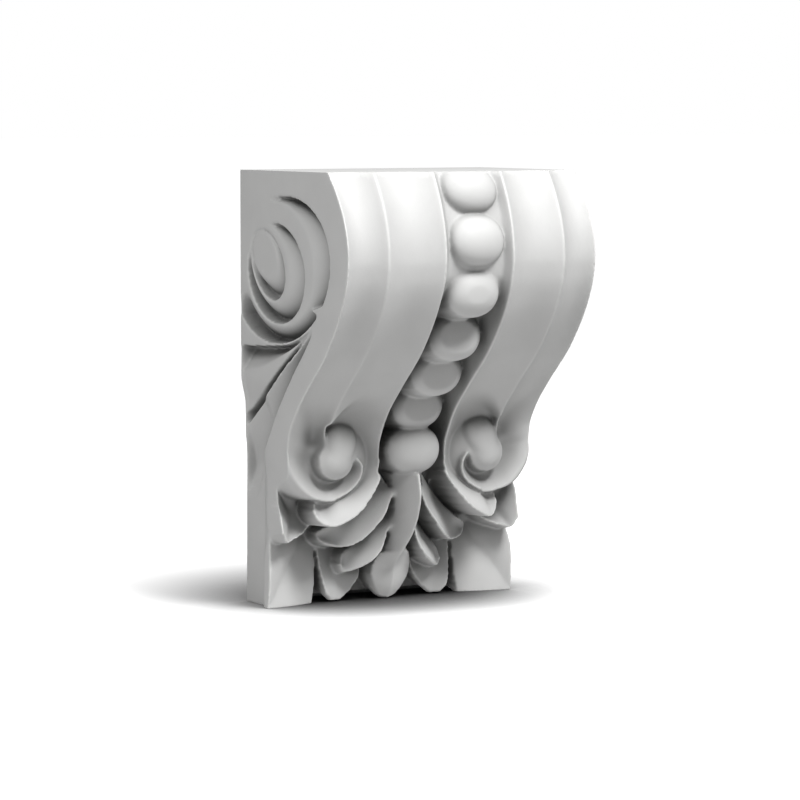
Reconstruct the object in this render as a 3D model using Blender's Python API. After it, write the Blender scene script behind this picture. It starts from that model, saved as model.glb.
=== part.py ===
"""Scrolled corbel with a beaded channel and an acanthus foot, cast in one piece.

Metres, +Z up. The front looks along -Y, the flat back lies in the plane Y = 0,
and the origin is the centre of the back.
"""
import math

import bmesh
import bpy
import numpy as np

MM = 0.001

# overall block
HEIGHT = 300 * MM
WIDTH = 193 * MM
FOOT_WIDTH = 185 * MM
FOOT_THICKNESS = 26 * MM
FOOT_ARCH = 4.5 * MM

# how far the front stands out from the back, at its side edges and beside the beads
SIDE_TOP = 125 * MM
SIDE_BELLY = 153 * MM
SIDE_NECK = 69 * MM
MIDDLE_TOP = 143 * MM
MIDDLE_BELLY = 161 * MM
MIDDLE_NECK = 76 * MM

# hollow bands and the channel
OUTER_BAND = 28.5 * MM
OUTER_SAG = 7 * MM
INNER_SAG = 9 * MM
CHANNEL_WIDTH = 52 * MM
CHANNEL_DEPTH = 12 * MM
CHANNEL_WALL = 5 * MM

# beads
BEAD_COUNT = 7
BEAD_WIDTH = 41 * MM
BEAD_LENGTH = 36 * MM
BEAD_RISE = 8 * MM
BEAD_SINK = 6.3 * MM
BEAD_TILT = 8
BEAD_LAP = 24
BEAD_FLAT = 0.25
BALL_RISE = 15 * MM
FIRST_BEAD = 288 * MM
LAST_BEAD = 108 * MM

# scroll
EYE_IN = 36.7 * MM
EYE_UP = 103 * MM
EYE_RADIUS = 14.5 * MM
EYE_DEPTH = 62 * MM
ROLL_RADIUS = 26.5 * MM
ROLL_RISE = 12 * MM
ROLL_OFF = 6.5 * MM

# side volute, from the outside in: where each turn slopes from its crest down to its crease.
# A ring is (from the back, from the foot, half length, half height, degrees that it leans)
VOLUTE_TURNS = (
    {
        "crest": (54.2 * MM, 237.6 * MM, 50.2 * MM, 41 * MM, -13.6),
        "crease": (57.4 * MM, 233.1 * MM, 68.9 * MM, 48.5 * MM, 8.9),
        "depth": 12 * MM,
    },
    {
        "crest": (42.3 * MM, 237.4 * MM, 29.4 * MM, 23.2 * MM, -39.3),
        "crease": (51.3 * MM, 230.8 * MM, 40.3 * MM, 32.7 * MM, -13.7),
        "depth": 10 * MM,
    },
    {
        "crest": (35.6 * MM, 242.4 * MM, 18.5 * MM, 13.8 * MM, -29.8),
        "crease": (39.6 * MM, 236.6 * MM, 27.4 * MM, 19 * MM, -43.5),
        "depth": 8 * MM,
    },
)

# rays that fan out on the side below the volute, seen from the point where they meet
FAN_FRONT = 104 * MM
FAN_UP = 196 * MM
FAN_DEPTH = 10 * MM
# borders of the rays: (millimetres from that point, degrees below the level)
BAND_EDGE = ((5, 24), (31, 22), (52, 16.7), (69, 13.5), (98, 10.1))
SCOOP_EDGE = ((5, 27), (29, 25.5), (42, 25), (62, 23.2), (85, 21.4), (102, 19))
GROOVE_LINE = ((5, 29), (33, 30.5), (59, 31.9), (83, 33.2), (110, 33.4))
CREASE_LINE = ((5, 56), (18, 51), (43, 48), (76, 48.7), (98, 50.2), (119, 51.3), (140, 53.4))

# mesh
GRID_STEP = 1.6 * MM
SOFT_PASSES = 2
CUT_SPARE = 1 * MM
TRIANGLES = 7600

# working sizes in millimetres
HALF = WIDTH / MM / 2
HIGH = HEIGHT / MM

# how the S sweep goes from the neck (0) to the belly (1), at shares of the height
NECK_AT = 0.4
BELLY_AT = 0.807
SWEEP = (
    (-0.15, -0.03), (0, 0), (0.12, 0.1), (0.25, 0.28), (0.5, 0.655), (0.75, 0.9), (0.9, 0.98), (1, 1),
    (1.2, 1),
)

# how steeply the pull of a curve grows with nearness
NEARNESS = 7

# scroll rim seen from the eye: (degrees below the outward direction, share of the eye's distance
# from the side, forward)
RIM = (
    (-12, 1.03, 67.5), (0, 0.965, 68), (10, 0.925, 68.5), (34, 0.85, 69), (65, 0.8, 67.5),
    (83, 0.78, 67), (106, 0.72, 69), (136, 0.67, 70.5), (151, 0.64, 71.5), (166, 0.58, 73),
    (184, 0.44, 73.5),
)
# where the outer hollow meets the ball of the eye
EYE_FOOT = ((-50, 72), (-20, 60), (0, 55), (90, 54), (150, 58), (184, 70))
# the crease round the roll, from the ridge's end over the top and down behind the rim
ROLL_FOOT = ((-292, 54), (-268, 51), (-225, 54), (-180, 58), (-140, 62), (-110, 65), (-72, 68))

# the rim that carries the channel's edge on round the scroll, drawn like the leaves below as
# (percent of the half width, percent of the height, millimetres forward)
CRESCENT = (
    (24.9, 37.7, 73.5), (24.4, 32.3, 73), (27.5, 28.7, 74), (35, 25.3, 75.5), (44.6, 22.3, 76.5),
    (54.7, 20.4, 75.5), (62.2, 19.6, 73), (67.9, 19.8, 69.5), (72.5, 20.8, 66), (75.1, 22.3, 63.5),
    (75.1, 24.2, 61.5),
)
# leaves of the foot: each a hollow blade between its edge and its root; its sag is a share of its
# width, and a high dive keeps it level from the edge and drops it near the root
CORNER_FOLD = (
    (57, 24, 21), (62.2, 20.7, 24), (68.4, 16.7, 27), (73.6, 13.2, 31.5), (79.4, 10.6, 34),
    (85, 8.1, 36.2), (95.2, 2.8, 40), (103.1, -0.3, 42),
)
BLADES = (
    # side leaf under the scroll
    {
        "edge": (
            (81.9, 25.3, 47), (90.2, 26.7, 49.5), (96.4, 29, 52), (101.6, 30.7, 52.5), (101, 27.3, 51.5),
            (101, 24, 54), (100.5, 21, 57), (98.4, 17.7, 58), (93.3, 15.2, 56), (85, 15.8, 52.5),
            (76.7, 16.8, 50), (69.4, 18.3, 46),
        ),
        "root": ((79.8, 24.3, 40), (76.7, 22.7, 37), (72.5, 21, 37), (68.4, 19.7, 41)),
        "sag": 0.14, "dive": 1.3,
    },
    # corner leaf, outside its fold and inside it
    {
        "edge": (
            (104.7, 25.3, 24), (104.7, 22, 30), (104.7, 18.7, 34.5), (104.7, 15.3, 38.5),
            (104.7, 12.2, 42.5), (104.7, 8.3, 44.3), (104.7, 4.3, 44), (104.7, -0.3, 42.3),
        ),
        "root": CORNER_FOLD, "sag": -0.06, "dive": 1,
    },
    {
        "edge": (
            (51.8, 20, 21), (56, 15.3, 26), (56.5, 9.3, 30), (57, 5.3, 31), (58.5, 2, 31.5),
            (60.1, -0.3, 32),
        ),
        "root": CORNER_FOLD, "sag": -0.06, "dive": 1,
    },
    # foot lobe
    {
        "edge": ((56.5, 14, 28), (55.4, 9.3, 31), (53.9, 5.3, 34), (51.3, 2, 36), (45.6, 0.2, 34.5)),
        "root": (
            (22.8, 12, 27), (20.2, 8, 31), (21.2, 5.5, 33.5), (24.9, 3.9, 33.5), (30.1, 2, 33.5),
            (37.3, 0.2, 33.5),
        ),
        "sag": 0.08, "dive": 1,
    },
    # two leaflets beside the stem
    {
        "edge": (
            (7.3, 18.7, 57), (9.7, 16.9, 56), (12.1, 14.1, 55.5), (16.5, 11.5, 56), (22.4, 9.5, 54),
            (29, 8.1, 50), (35.4, 7.1, 44.5), (40.6, 7.1, 40.5), (42.5, 8.7, 41),
        ),
        "root": (
            (8.3, 22, 46), (15.5, 19.3, 44), (22.8, 17, 43), (31.1, 14.3, 41), (38.3, 12.3, 39),
            (42, 10.3, 39),
        ),
        "sag": 0.06, "dive": 1.8,
    },
    {
        "edge": (
            (10.4, 26, 64), (13.6, 23, 63.8), (17.4, 20.6, 64.5), (22.3, 18.6, 64), (27.6, 16.6, 62),
            (33.3, 14.9, 59.5), (39.3, 13.6, 56), (45.6, 13.1, 52), (52.1, 13.4, 48.5), (58, 14, 45),
            (62.2, 15.3, 41),
        ),
        "root": (
            (16.6, 30, 56), (23.8, 27, 53), (31.1, 24.3, 51), (39.4, 21.7, 50), (49.7, 19.3, 48),
            (58, 18, 44), (63.2, 16.7, 40),
        ),
        "sag": 0.06, "dive": 1.8,
    },
)

# middle stem and tongue: (height, forward), half width and how far its sides fall away
STEM_RIDGE = (
    (0, 34), (2, 38), (9.5, 43), (23, 45.7), (30, 49), (36.6, 55), (49.3, 66.5), (62.7, 74), (76, 79),
    (90, 79), (100, 76),
)
STEM_HALF = (
    (0, 3), (1.5, 6), (6, 10), (11, 13.2), (17.7, 15.8), (24, 16), (30, 14.8), (34.5, 12), (36, 10),
    (44, 9), (62, 9.5), (76, 11), (92, 14),
)
STEM_FALL = ((0, 3), (10, 5), (24, 4.5), (34, 8), (37, 12), (44, 16), (60, 19), (80, 19), (100, 18))


def smooth(stations, at):
    """Read a curve that runs through its stations without overshooting."""
    places, values = np.array(sorted(stations), dtype=float).T
    spans = np.diff(places)
    slopes = np.diff(values) / spans
    before, after = slopes[:-1], slopes[1:]
    same_way = before * after > 0
    tangents = np.empty_like(values)
    tangents[0], tangents[-1] = slopes[0], slopes[-1]
    tangents[1:-1] = np.where(same_way, 2 * before * after / np.where(same_way, before + after, 1), 0)
    index = np.clip(np.searchsorted(places, at) - 1, 0, len(spans) - 1)
    share = np.clip((at - places[index]) / spans[index], 0, 1)
    span = spans[index]
    low, high = values[index], values[index + 1]
    rise = high - low
    first, last = tangents[index] * span, tangents[index + 1] * span
    bend = share**2 * (3 * rise - 2 * first - last)
    return low + share * first + bend + share**3 * (first + last - 2 * rise)


def ease(low, high, at):
    share = np.clip((at - low) / (high - low), 0, 1)
    return share * share * (3 - 2 * share)


def through(points, steps=6):
    """A smooth curve through all of its points."""
    ends = np.vstack((2 * points[0] - points[1], points, 2 * points[-1] - points[-2]))
    share = np.linspace(0, 1, steps, endpoint=False)[:, None]
    spans = []
    for before, start, end, after in zip(ends[:-3], ends[1:-2], ends[2:-1], ends[3:]):
        leave, reach = (end - before) / 2, (after - start) / 2
        spans.append(
            start * (1 - 3 * share**2 + 2 * share**3) + end * (3 * share**2 - 2 * share**3)
            + leave * (share - 2 * share**2 + share**3) + reach * (share**3 - share**2))
    return np.vstack(spans + [points[-1:]])


def nearest(out, up, curve):
    """Distance from each point to a curve, and how far forward the curve stands there."""
    # every stretch pulls with a steep power of its nearness, so that no crease shows
    # where two stretches are equally near
    pull = np.zeros(out.shape)
    forward = np.zeros(out.shape)
    shortest = np.full(out.shape, np.inf)
    for start, end in zip(curve[:-1], curve[1:]):
        run = end[:2] - start[:2]
        length = max(float(np.hypot(*run)), 1e-6)
        share = np.clip(((out - start[0]) * run[0] + (up - start[1]) * run[1]) / length**2, 0, 1)
        gap = np.hypot(out - start[0] - share * run[0], up - start[1] - share * run[1])
        shortest = np.minimum(shortest, gap)
        part = length / np.maximum(gap, 0.05) ** NEARNESS
        pull += part
        forward += part * (start[2] + share * (end[2] - start[2]))
    blended = (pull / 1.2) ** (-1 / (NEARNESS - 1))
    return shortest + ease(2, 7, shortest) * (blended - shortest), forward / pull


def within(out, up, outline):
    """True where a point lies inside a closed outline."""
    found = np.zeros(out.shape, dtype=bool)
    for start, end in zip(outline, np.roll(outline, -1, axis=0)):
        crosses = (start[1] > up) != (end[1] > up)
        run = end[1] - start[1]
        at = start[0] + (up - start[1]) * (end[0] - start[0]) / (run if abs(run) > 1e-9 else 1e-9)
        found ^= crosses & (out < at)
    return found


def hollow(out, up, edge, root, sag_share, sag_limit=99.0, skew=1.0, dive=1.0):
    """A surface hung between two curves like a shallow trough, and where it lies."""
    inside = within(out, up, np.vstack((edge, root[::-1]))[:, :2])
    to_edge, edge_forward = nearest(out, up, edge)
    to_root, root_forward = nearest(out, up, root)
    width = np.maximum(to_edge + to_root, 1e-6)
    share = to_edge / width
    sag = np.minimum(width * sag_share, sag_limit)
    drawn_in = share**skew
    chord = edge_forward + share**dive * (root_forward - edge_forward)
    return chord - sag * 4 * drawn_in * (1 - drawn_in), inside


def sweep_forward(up, top, belly, neck):
    """How far forward a line of the S profile stands, in millimetres."""
    share = up / HIGH
    below = neck + (belly - neck) * smooth(SWEEP, (share - NECK_AT) / (BELLY_AT - NECK_AT))
    above = belly - (belly - top) * (np.maximum(share - BELLY_AT, 0) / (1 - BELLY_AT)) ** 2
    return np.where(share < BELLY_AT, below, above) / MM


def side_line(up):
    return sweep_forward(up, SIDE_TOP, SIDE_BELLY, SIDE_NECK)


def middle_line(up):
    return sweep_forward(up, MIDDLE_TOP, MIDDLE_BELLY, MIDDLE_NECK)


def stand(forward):
    """Turn the drawn depths into real ones, tied to the foot plate and the neck."""
    plate, neck = 26.0, 69.0
    slope = (SIDE_NECK - FOOT_THICKNESS) / MM / (neck - plate)
    return np.where(
        forward < plate,
        forward * FOOT_THICKNESS / MM / plate,
        FOOT_THICKNESS / MM + (forward - plate) * slope,
    )


def drawn(points):
    """Percents of the half width and of the height, and a drawn depth, made millimetres."""
    curve = np.array(points, dtype=float)
    return np.column_stack((curve[:, 0] * HALF / 100, curve[:, 1] * HIGH / 100, stand(curve[:, 2])))


def straight(out, line, low, steps=40):
    """An edge of a band, straight down from the top to the given height."""
    ups = np.linspace(HIGH + 4, low, steps)
    return np.column_stack((np.full(steps, out), ups, line(ups)))


def around(centre, radii, angles, forwards):
    """An arc about the eye; degrees run down from the outward direction."""
    turned = np.radians(-angles)
    return np.column_stack((
        centre[0] + radii * np.cos(turned), centre[1] + radii * np.sin(turned), stand(forwards)))


def front_forward(out, up):
    """How far forward the carved front stands, in millimetres, for one half."""
    eye = np.array((HALF - EYE_IN / MM, EYE_UP / MM))
    eye_radius = EYE_RADIUS / MM
    roll_radius = ROLL_RADIUS / MM
    out = np.minimum(out, HALF - 0.01)
    channel_out = CHANNEL_WIDTH / MM / 2
    ridge_out = HALF - OUTER_BAND / MM

    def ridge_line(ups):
        share = 1 - ((ridge_out - channel_out) / (HALF - channel_out)) ** 2
        return side_line(ups) + share * (middle_line(ups) - side_line(ups))

    # plate, and the core that thickens behind the scroll
    core = smooth(((0, 17), (30, 18), (50, 28), (70, 40), (95, 50), (120, 56)), up)
    forward = stand(np.where((out > 84) & (up < 98), 26.0, core))

    # stem and tongue on the middle line
    half = smooth(STEM_HALF, up)
    share = np.clip(out / half, 0, 1)
    stem = stand(smooth(STEM_RIDGE, up)) - smooth(STEM_FALL, up) * share**0.7
    forward = np.where((out < half) & (up < 100), np.maximum(stem, forward), forward)

    # leaves of the foot
    for blade in BLADES:
        edge, root = (through(drawn(blade[line])) for line in ("edge", "root"))
        surface, inside = hollow(out, up, edge, root, blade["sag"], dive=blade["dive"])
        forward = np.where(inside, np.maximum(forward, surface), forward)

    # rim of the outer band, from the top down and around the eye
    turns, radii, depths = np.array(RIM).T
    angles = np.linspace(turns[0], turns[-1], 50)
    spiral_radii = smooth(list(zip(turns, radii)), angles) * EYE_IN / MM
    spiral = around(eye, spiral_radii, angles, smooth(list(zip(turns, depths)), angles))
    rim = np.vstack((straight(HALF, side_line, eye[1] + 10), spiral))
    ridge = straight(ridge_out, ridge_line, eye[1] + 24)
    ridge_end = np.array(((ridge_out, eye[1] + 12, ridge_line(np.array(eye[1] + 14))),))

    # inner band, with the channel's edge running on into the big crescent
    angles = np.linspace(ROLL_FOOT[-1][0], ROLL_FOOT[0][0], 40)
    roll_foot = around(eye, np.full(angles.shape, roll_radius - 1.5), angles, smooth(ROLL_FOOT, angles))
    channel_edge = np.vstack((straight(channel_out, middle_line, eye[1] + 24), through(drawn(CRESCENT))))
    dive = 1 + 1.2 * ease(eye[1] - 5, eye[1] - 25, up)
    root = np.vstack((ridge, roll_foot))
    surface, inside = hollow(out, up, channel_edge, root, 0.12, INNER_SAG / MM, dive=dive)
    share = (out - channel_out) / (ridge_out - channel_out)
    sag = INNER_SAG / MM * 4 * share * (1 - share)
    level = middle_line(up) + share * (ridge_line(up) - middle_line(up)) - sag
    surface += ease(eye[1] + 22, eye[1] + 58, up) * (level - surface)
    forward = np.where(inside, np.maximum(forward, surface), forward)

    # channel for the beads
    in_channel = (out < channel_out) & (up > eye[1] - 25)
    wall = np.clip((channel_out - out) / (CHANNEL_WALL / MM), 0, 1) ** 0.7
    floor = middle_line(up) - CHANNEL_DEPTH / MM * wall - 12 * ease(eye[1] - 3, eye[1] - 25, up)
    forward = np.where(in_channel & (up > eye[1] - 11), floor, forward)
    forward = np.where(in_channel, np.maximum(floor, forward), forward)

    # beads, each an ellipsoid that leans with the sweep; the lowest is a full ball
    for bead_up in bead_heights():
        rise = BEAD_RISE / MM if bead_up > LAST_BEAD / MM + 1 else BALL_RISE / MM
        forward = np.maximum(forward, bead_forward(out, up, bead_up, rise))

    # roll of the scroll
    away = np.hypot(out - eye[0], up - eye[1])
    dome = stand(63.5) + ROLL_RISE / MM * np.clip(1 - away / roll_radius, 0, 1) ** 0.8
    forward = np.where(away < roll_radius, np.maximum(forward, dome), forward)

    # the side of the scroll rolls off outside its rim, steeply under the eye
    angle = np.degrees(np.arctan2(eye[1] - up, out - eye[0]))
    width = ROLL_OFF / MM * (0.2 + 0.8 * ease(80, 50, angle))
    share = nearest(out, up, rim)[0] / width
    wall = stand(68.5) - (stand(68.5) - stand(50.0)) * (1 - np.sqrt(1 - np.clip(share, 0, 1) ** 2))
    beside = (share < 1) & (angle > -40) & (angle < 95) & (up < eye[1] + 12)
    forward = np.where(beside, np.maximum(forward, wall), forward)

    # outer band, which winds in under the eye; its trough draws in to the ball
    angles = np.linspace(-50, turns[-1], 50)
    eye_foot = around(eye, np.full(angles.shape, eye_radius - 0.5), angles, smooth(EYE_FOOT, angles))
    root = np.vstack((ridge, ridge_end, eye_foot))
    surface, inside = hollow(out, up, rim, root, 0.2, OUTER_SAG / MM, skew=1.6)
    share = (HALF - out) / (HALF - ridge_out)
    near_scroll = ease(eye[1] + 47, eye[1] + 14, up)
    skewed = np.clip(share, 0, 1) ** (1 + 1.9 * near_scroll)
    sag = (OUTER_SAG / MM + 3.5 * near_scroll) * 4 * skewed * (1 - skewed)
    level = side_line(up) + share * (ridge_line(up) - side_line(up)) - sag
    surface += ease(eye[1] + 3, eye[1] + 14, up) * (level - surface)
    forward = np.where(inside, surface, forward)

    # eye, which spreads up and inwards to the crease of the roll
    spread = ease(-42, -95, angle) * ease(-180, -120, angle)
    reach = eye_radius + (roll_radius - eye_radius) * spread
    ball = stand(EYE_DEPTH / MM) + eye_radius * np.sqrt(np.clip(1 - (away / reach) ** 2, 0, None))
    return np.where(away < reach, np.maximum(forward, ball), forward)


def bead_heights():
    """Heights of the beads, spaced evenly along the sweep."""
    ups = np.linspace(FIRST_BEAD, LAST_BEAD, 200) / MM
    forwards = middle_line(ups)
    lengths = np.concatenate(((0,), np.cumsum(np.hypot(np.diff(ups), np.diff(forwards)))))
    return np.interp(np.linspace(0, lengths[-1], BEAD_COUNT), lengths, ups)


def bead_forward(out, up, bead_up, high):
    """How far forward one bead's surface stands; very low where there is no bead."""
    slope = float(middle_line(np.array(bead_up + 1.0)) - middle_line(np.array(bead_up - 1.0))) / 2
    # the lower beads lap like coins: they lean out at the bottom and have a flat face
    steep = float(ease(0.1, 0.7, slope))
    lean = math.atan(slope) - math.radians(BEAD_TILT + (BEAD_LAP - BEAD_TILT) * steep)
    along, rise = (math.cos(lean), math.sin(lean)), (-math.sin(lean), math.cos(lean))
    centre = float(middle_line(np.array(bead_up))) - BEAD_SINK / MM
    drop = up - bead_up
    half, long = BEAD_WIDTH / MM / 2, BEAD_LENGTH / MM / 2
    square = (along[1] / long) ** 2 + (rise[1] / high) ** 2
    cross = drop * (along[0] * along[1] / long**2 + rise[0] * rise[1] / high**2)
    rest = (out / half) ** 2 + drop**2 * ((along[0] / long) ** 2 + (rise[0] / high) ** 2) - 1
    room = cross**2 - square * rest
    surface = centre + (np.sqrt(np.maximum(room, 0)) - cross) / square
    face = centre + (high * (1 - BEAD_FLAT * steep) + math.sin(lean) * drop) / math.cos(lean)
    return np.where(room > 0, np.minimum(surface, face), 0.0)


def front_half(up):
    """Half width of the front at a height."""
    shares = (
        (0, 1.012), (9, 1.01), (13, 0.998), (17, 0.978), (20, 0.985), (24, 0.987), (28, 0.985),
        (31, 0.99), (35, 1), (104, 1),
    )
    return HALF * smooth(shares, up / HIGH * 100)


def past_ring(back, up, ring):
    """Millimetres outside a leaning ring; below zero inside it."""
    from_back, from_foot, half_length, half_height = (size / MM for size in ring[:4])
    lean = math.radians(ring[4])
    along = (back - from_back) * math.cos(lean) + (up - from_foot) * math.sin(lean)
    across = (up - from_foot) * math.cos(lean) - (back - from_back) * math.sin(lean)
    return (np.hypot(along / half_length, across / half_height) - 1) * math.sqrt(half_length * half_height)


def side_recess(back, up):
    """How deep the side is cut by the volute, for a distance from the back and a height."""
    cut = np.zeros(back.shape)
    for turn in VOLUTE_TURNS:
        past_crest = past_ring(back, up, turn["crest"])
        past_crease = past_ring(back, up, turn["crease"])
        lune = np.maximum(past_crest - past_crease, 1e-6)
        share = np.clip(past_crest / lune, 0, 1)
        deep = turn["depth"] / MM * np.minimum(lune / 9, 1)
        on_slope = (past_crest > 0) & (past_crease < 0)
        cut = np.where(past_crest < 0, 0, np.where(on_slope, deep * share, cut))
        if turn is VOLUTE_TURNS[0]:
            # the outer turn runs out into the flat of the block behind it
            centre_back, centre_up = turn["crest"][0] / MM, turn["crest"][1] / MM
            round_to = np.degrees(np.arctan2(up - centre_up, back - centre_back)) % 360
            cut = cut * (1 - ease(100, 120, round_to) * ease(211, 203, round_to))
    return cut


def fan_recess(back, up):
    """Rays on the side that spread to the back from a point behind the front edge."""
    run = FAN_FRONT / MM - back
    drop = FAN_UP / MM - up
    angle = np.degrees(np.arctan2(drop, np.maximum(run, 0.01)))
    away = np.hypot(run, drop)
    band, scoop, groove, crease = (
        smooth(line, away) for line in (BAND_EDGE, SCOOP_EDGE, GROOVE_LINE, CREASE_LINE))
    half_groove = 1.3
    deep = FAN_DEPTH / MM * np.clip(away / 30, 0, 1) * (run > 0)
    cut = np.zeros(back.shape)
    rays = (
        (band, scoop, 1.0, 0.1), (scoop, groove - half_groove, 0.1, 0.15),
        (groove - half_groove, groove + half_groove, 0.7, 0.7), (groove + half_groove, crease, 0.1, 1.0),
    )
    for low, high, first, last in rays:
        share = np.clip((angle - low) / (high - low), 0, 1)
        cut = np.where((angle >= low) & (angle < high), deep * (first + share * (last - first)), cut)
    return cut * ease(72, 100, up)


def side_out(back, up, front):
    """How far out the side face stands, up to the front edge."""
    foot = FOOT_WIDTH / WIDTH
    shares = ((0, foot), (34, foot - 0.004), (40, foot + 0.006), (46, foot + 0.008), (53, 1), (104, 1))
    plain = HALF * smooth(shares, up / HIGH * 100)
    flare = ease(FOOT_THICKNESS / MM, FOOT_THICKNESS / MM + 10, back)
    flare = np.maximum(flare, ease(front - 6, front, back))
    edge = plain + (front_half(up) - plain) * flare
    in_volute = past_ring(back, up, VOLUTE_TURNS[0]["crease"]) < 0
    cut = np.where(in_volute, side_recess(back, up), fan_recess(back, up))
    return edge - cut * ease(front - 2, front - 8, back) * ease(0, 4, back)


def soften(sheet, times):
    """Round steps and ridges a little, as a casting's edges are."""
    for _ in range(times):
        for _ in range(2):
            padded = np.concatenate((sheet[:1], sheet, sheet[-1:]))
            sheet = ((padded[:-2] + padded[2:]) / 4 + sheet / 2).T
    return sheet


def add_sheet(mesh, grid):
    """Quads between neighbouring rows of points; returns the rows of vertices."""
    rows = [[mesh.verts.new(point) for point in row] for row in grid]
    for low, high in zip(rows[:-1], rows[1:]):
        for a, b, c, d in zip(low[:-1], low[1:], high[1:], high[:-1]):
            mesh.faces.new((a, b, c, d))
    return rows


def corbel_grid():
    """The carved block as one closed surface of six sheets that share their edges."""
    step = GRID_STEP / MM
    rows = int(round(HIGH / step))
    columns = int(round(WIDTH / GRID_STEP))
    deep_rows = int(round(SIDE_BELLY / GRID_STEP))
    ups = np.linspace(0, HIGH + CUT_SPARE / MM, rows + 1)
    across = np.linspace(-1, 1, columns + 1)
    half = front_half(ups)
    out = across[None, :] * half[:, None]
    up = np.broadcast_to(ups[:, None], out.shape)
    forward = soften(front_forward(np.abs(out), up), SOFT_PASSES)
    arch = FOOT_ARCH / MM * ease(0.9, 0.5, np.abs(across))

    def lifted(across_arch, depth, height):
        lift = across_arch * ease(27, 20, depth)
        return lift + height * (1 - lift / HIGH)

    front = np.stack((out, -forward, lifted(arch[None, :], forward, up)), axis=-1) * MM

    shares = np.linspace(0, 1, deep_rows + 1)
    edge_forward = forward[:, -1]
    start = -CUT_SPARE / MM
    back = start + shares[None, :] * (edge_forward[:, None] - start)
    side_up = np.broadcast_to(ups[:, None], back.shape)
    outs = soften(side_out(back, side_up, edge_forward[:, None]), SOFT_PASSES)
    outs[:, -1] = half

    mesh = bmesh.new()
    add_sheet(mesh, front)
    for sign in (-1, 1):
        add_sheet(mesh, np.stack((sign * outs, -back, side_up), axis=-1) * MM)
    behind = np.full(out.shape, start)
    add_sheet(mesh, np.stack((
        across[None, :] * outs[:, :1], -behind, lifted(arch[None, :], behind, up)), axis=-1) * MM)
    for row in (0, -1):
        cap_out = across[None, :] * outs[row][:, None]
        cap_back = start + shares[:, None] * (forward[row][None, :] - start)
        cap_up = lifted(arch[None, :], cap_back, np.full(cap_back.shape, ups[row]))
        add_sheet(mesh, np.stack((cap_out, -cap_back, cap_up), axis=-1) * MM)
    bmesh.ops.remove_doubles(mesh, verts=mesh.verts, dist=0.02 * MM)
    bmesh.ops.recalc_face_normals(mesh, faces=mesh.faces)
    return mesh


def cut_flat(mesh, point, normal):
    """Cut the mesh off square at a plane and close it there with one flat face."""
    everything = mesh.verts[:] + mesh.edges[:] + mesh.faces[:]
    cut = bmesh.ops.bisect_plane(
        mesh, geom=everything, dist=0.001 * MM, plane_co=point, plane_no=normal, clear_outer=True)
    rim = [part for part in cut["geom_cut"] if isinstance(part, bmesh.types.BMEdge)]
    bmesh.ops.contextual_create(mesh, geom=rim)


def plaster():
    """Matte white cast plaster."""
    material = bpy.data.materials.new("cast_plaster")
    material.use_nodes = True
    shader = material.node_tree.nodes["Principled BSDF"]
    shader.inputs["Base Color"].default_value = (0.82, 0.82, 0.81, 1)
    shader.inputs["Roughness"].default_value = 0.6
    shader.inputs["Metallic"].default_value = 0
    return material


def make_corbel():
    data = bpy.data.meshes.new("corbel")
    grid = corbel_grid()
    bmesh.ops.triangulate(grid, faces=grid.faces)
    count = len(grid.faces)
    grid.to_mesh(data)
    grid.free()
    corbel = bpy.data.objects.new("corbel", data)
    bpy.context.collection.objects.link(corbel)
    thin = corbel.modifiers.new("fewer triangles", "DECIMATE")
    thin.ratio = min(1.0, TRIANGLES / count)
    graph = bpy.context.evaluated_depsgraph_get()
    thinned = bpy.data.meshes.new_from_object(corbel.evaluated_get(graph))
    corbel.modifiers.clear()

    mesh = bmesh.new()
    mesh.from_mesh(thinned)
    cut_flat(mesh, (0, 0, 0), (0, 1, 0))
    cut_flat(mesh, (0, 0, HEIGHT), (0, 0, 1))
    bmesh.ops.translate(mesh, verts=mesh.verts, vec=(0, 0, -HEIGHT / 2))
    mesh.to_mesh(data)
    mesh.free()
    bpy.data.meshes.remove(thinned)
    data.materials.append(plaster())
    data.shade_smooth()
    data.set_sharp_from_angle(angle=math.radians(40))
    return corbel


for old in list(bpy.data.objects):
    bpy.data.objects.remove(old)
make_corbel()
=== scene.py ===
import math

import bpy
import numpy as np
from mathutils import Matrix, Vector


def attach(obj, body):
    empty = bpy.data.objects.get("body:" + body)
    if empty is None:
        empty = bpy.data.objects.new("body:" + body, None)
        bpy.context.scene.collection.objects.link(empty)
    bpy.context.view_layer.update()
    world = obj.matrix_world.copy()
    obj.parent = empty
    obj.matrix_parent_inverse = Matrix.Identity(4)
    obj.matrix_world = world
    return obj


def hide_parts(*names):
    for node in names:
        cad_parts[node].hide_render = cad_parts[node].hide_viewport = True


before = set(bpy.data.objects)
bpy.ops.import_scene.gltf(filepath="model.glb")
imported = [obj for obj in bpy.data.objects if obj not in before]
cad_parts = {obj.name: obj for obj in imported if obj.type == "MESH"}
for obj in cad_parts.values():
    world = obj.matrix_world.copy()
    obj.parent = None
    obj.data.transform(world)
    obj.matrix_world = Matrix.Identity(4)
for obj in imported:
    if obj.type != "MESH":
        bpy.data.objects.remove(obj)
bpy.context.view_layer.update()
print("frame loaded:", ", ".join(sorted(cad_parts)))


# Leaves are drawn as points of (percent of the half width, percent of the height, drawn depth)

# fold that the two halves of the corner leaf share
cornerFold = (
    (57, 24, 21), (62.2, 20.7, 24), (68.4, 16.7, 27), (73.6, 13.2, 31.5), (79.4, 10.6, 34),
    (85, 8.1, 36.2), (95.2, 2.8, 40), (103.1, -0.3, 42),
)

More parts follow.
